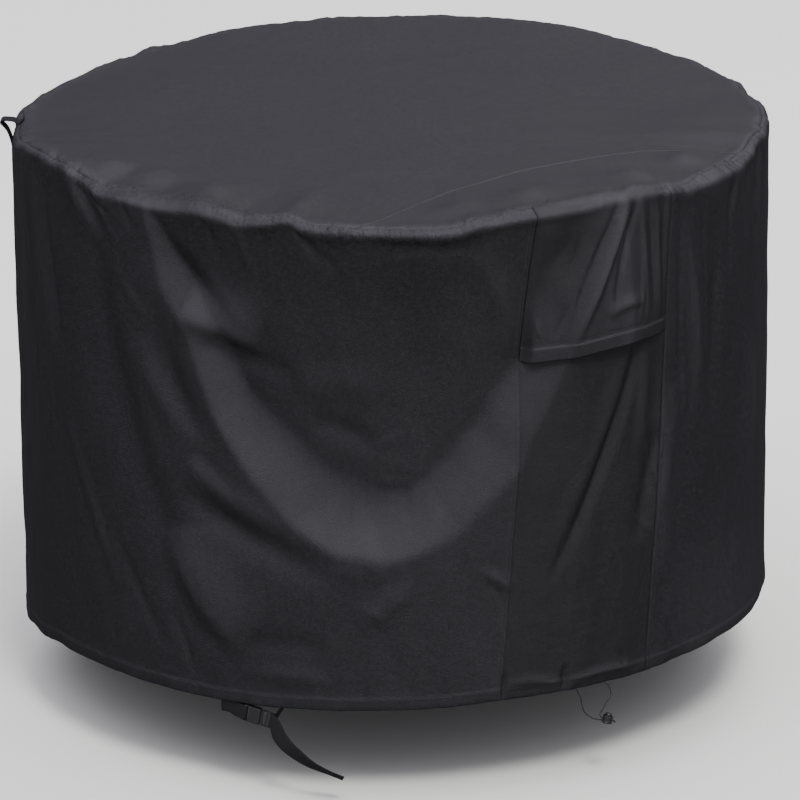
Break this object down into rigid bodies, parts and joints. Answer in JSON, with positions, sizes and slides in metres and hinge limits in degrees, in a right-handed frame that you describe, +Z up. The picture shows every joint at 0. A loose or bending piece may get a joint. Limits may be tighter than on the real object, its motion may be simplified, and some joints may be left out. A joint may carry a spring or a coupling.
{
  "type": "patio furniture cover",
  "caption": "Fitted round outdoor furniture cover of coated cloth, with a vent under a flap, a pull loop at the rim, and a buckled strap and a drawstring with a cord lock at the hem.",
  "frame": {"origin": "middle of the top's underside, where the furniture below carries the cover", "axes": "+Z up, -Y towards the front, where the vent, the strap and the drawstring are"},
  "size_m": [1.3105, 1.3045, 0.9851],
  "materials": {
    "cover_cloth": "black polyester cloth with a dull coating",
    "vent_cloth": "black polyester cloth with a dull coating",
    "webbing": "black woven polypropylene webbing and cord",
    "plastic": "black moulded plastic, dull"
  },
  "bodies": {
    "cover": {"top_panel": "cover_cloth", "top_segment": "cover_cloth", "skirt_panel": "cover_cloth", "vent_panel": "vent_cloth", "vent_flap": "vent_cloth", "pull_loop": "webbing", "strap_anchor": "webbing", "strap_tail": "webbing", "buckle_socket": "plastic", "buckle_tongue": "plastic", "drawstring_left": "webbing", "drawstring_right": "webbing", "drawstring_end": "webbing", "lock_barrel": "plastic"},
    "button": {"lock_button": "plastic"}
  },
  "joints": [
    {"name": "lock_press", "type": "slide", "parent": "cover", "child": "button", "axis": [-0.2734, -0.1768, -0.9455], "range_m": [0, 0.003], "stiffness_N_per_m": 600, "springref_m": -0.002}
  ]
}
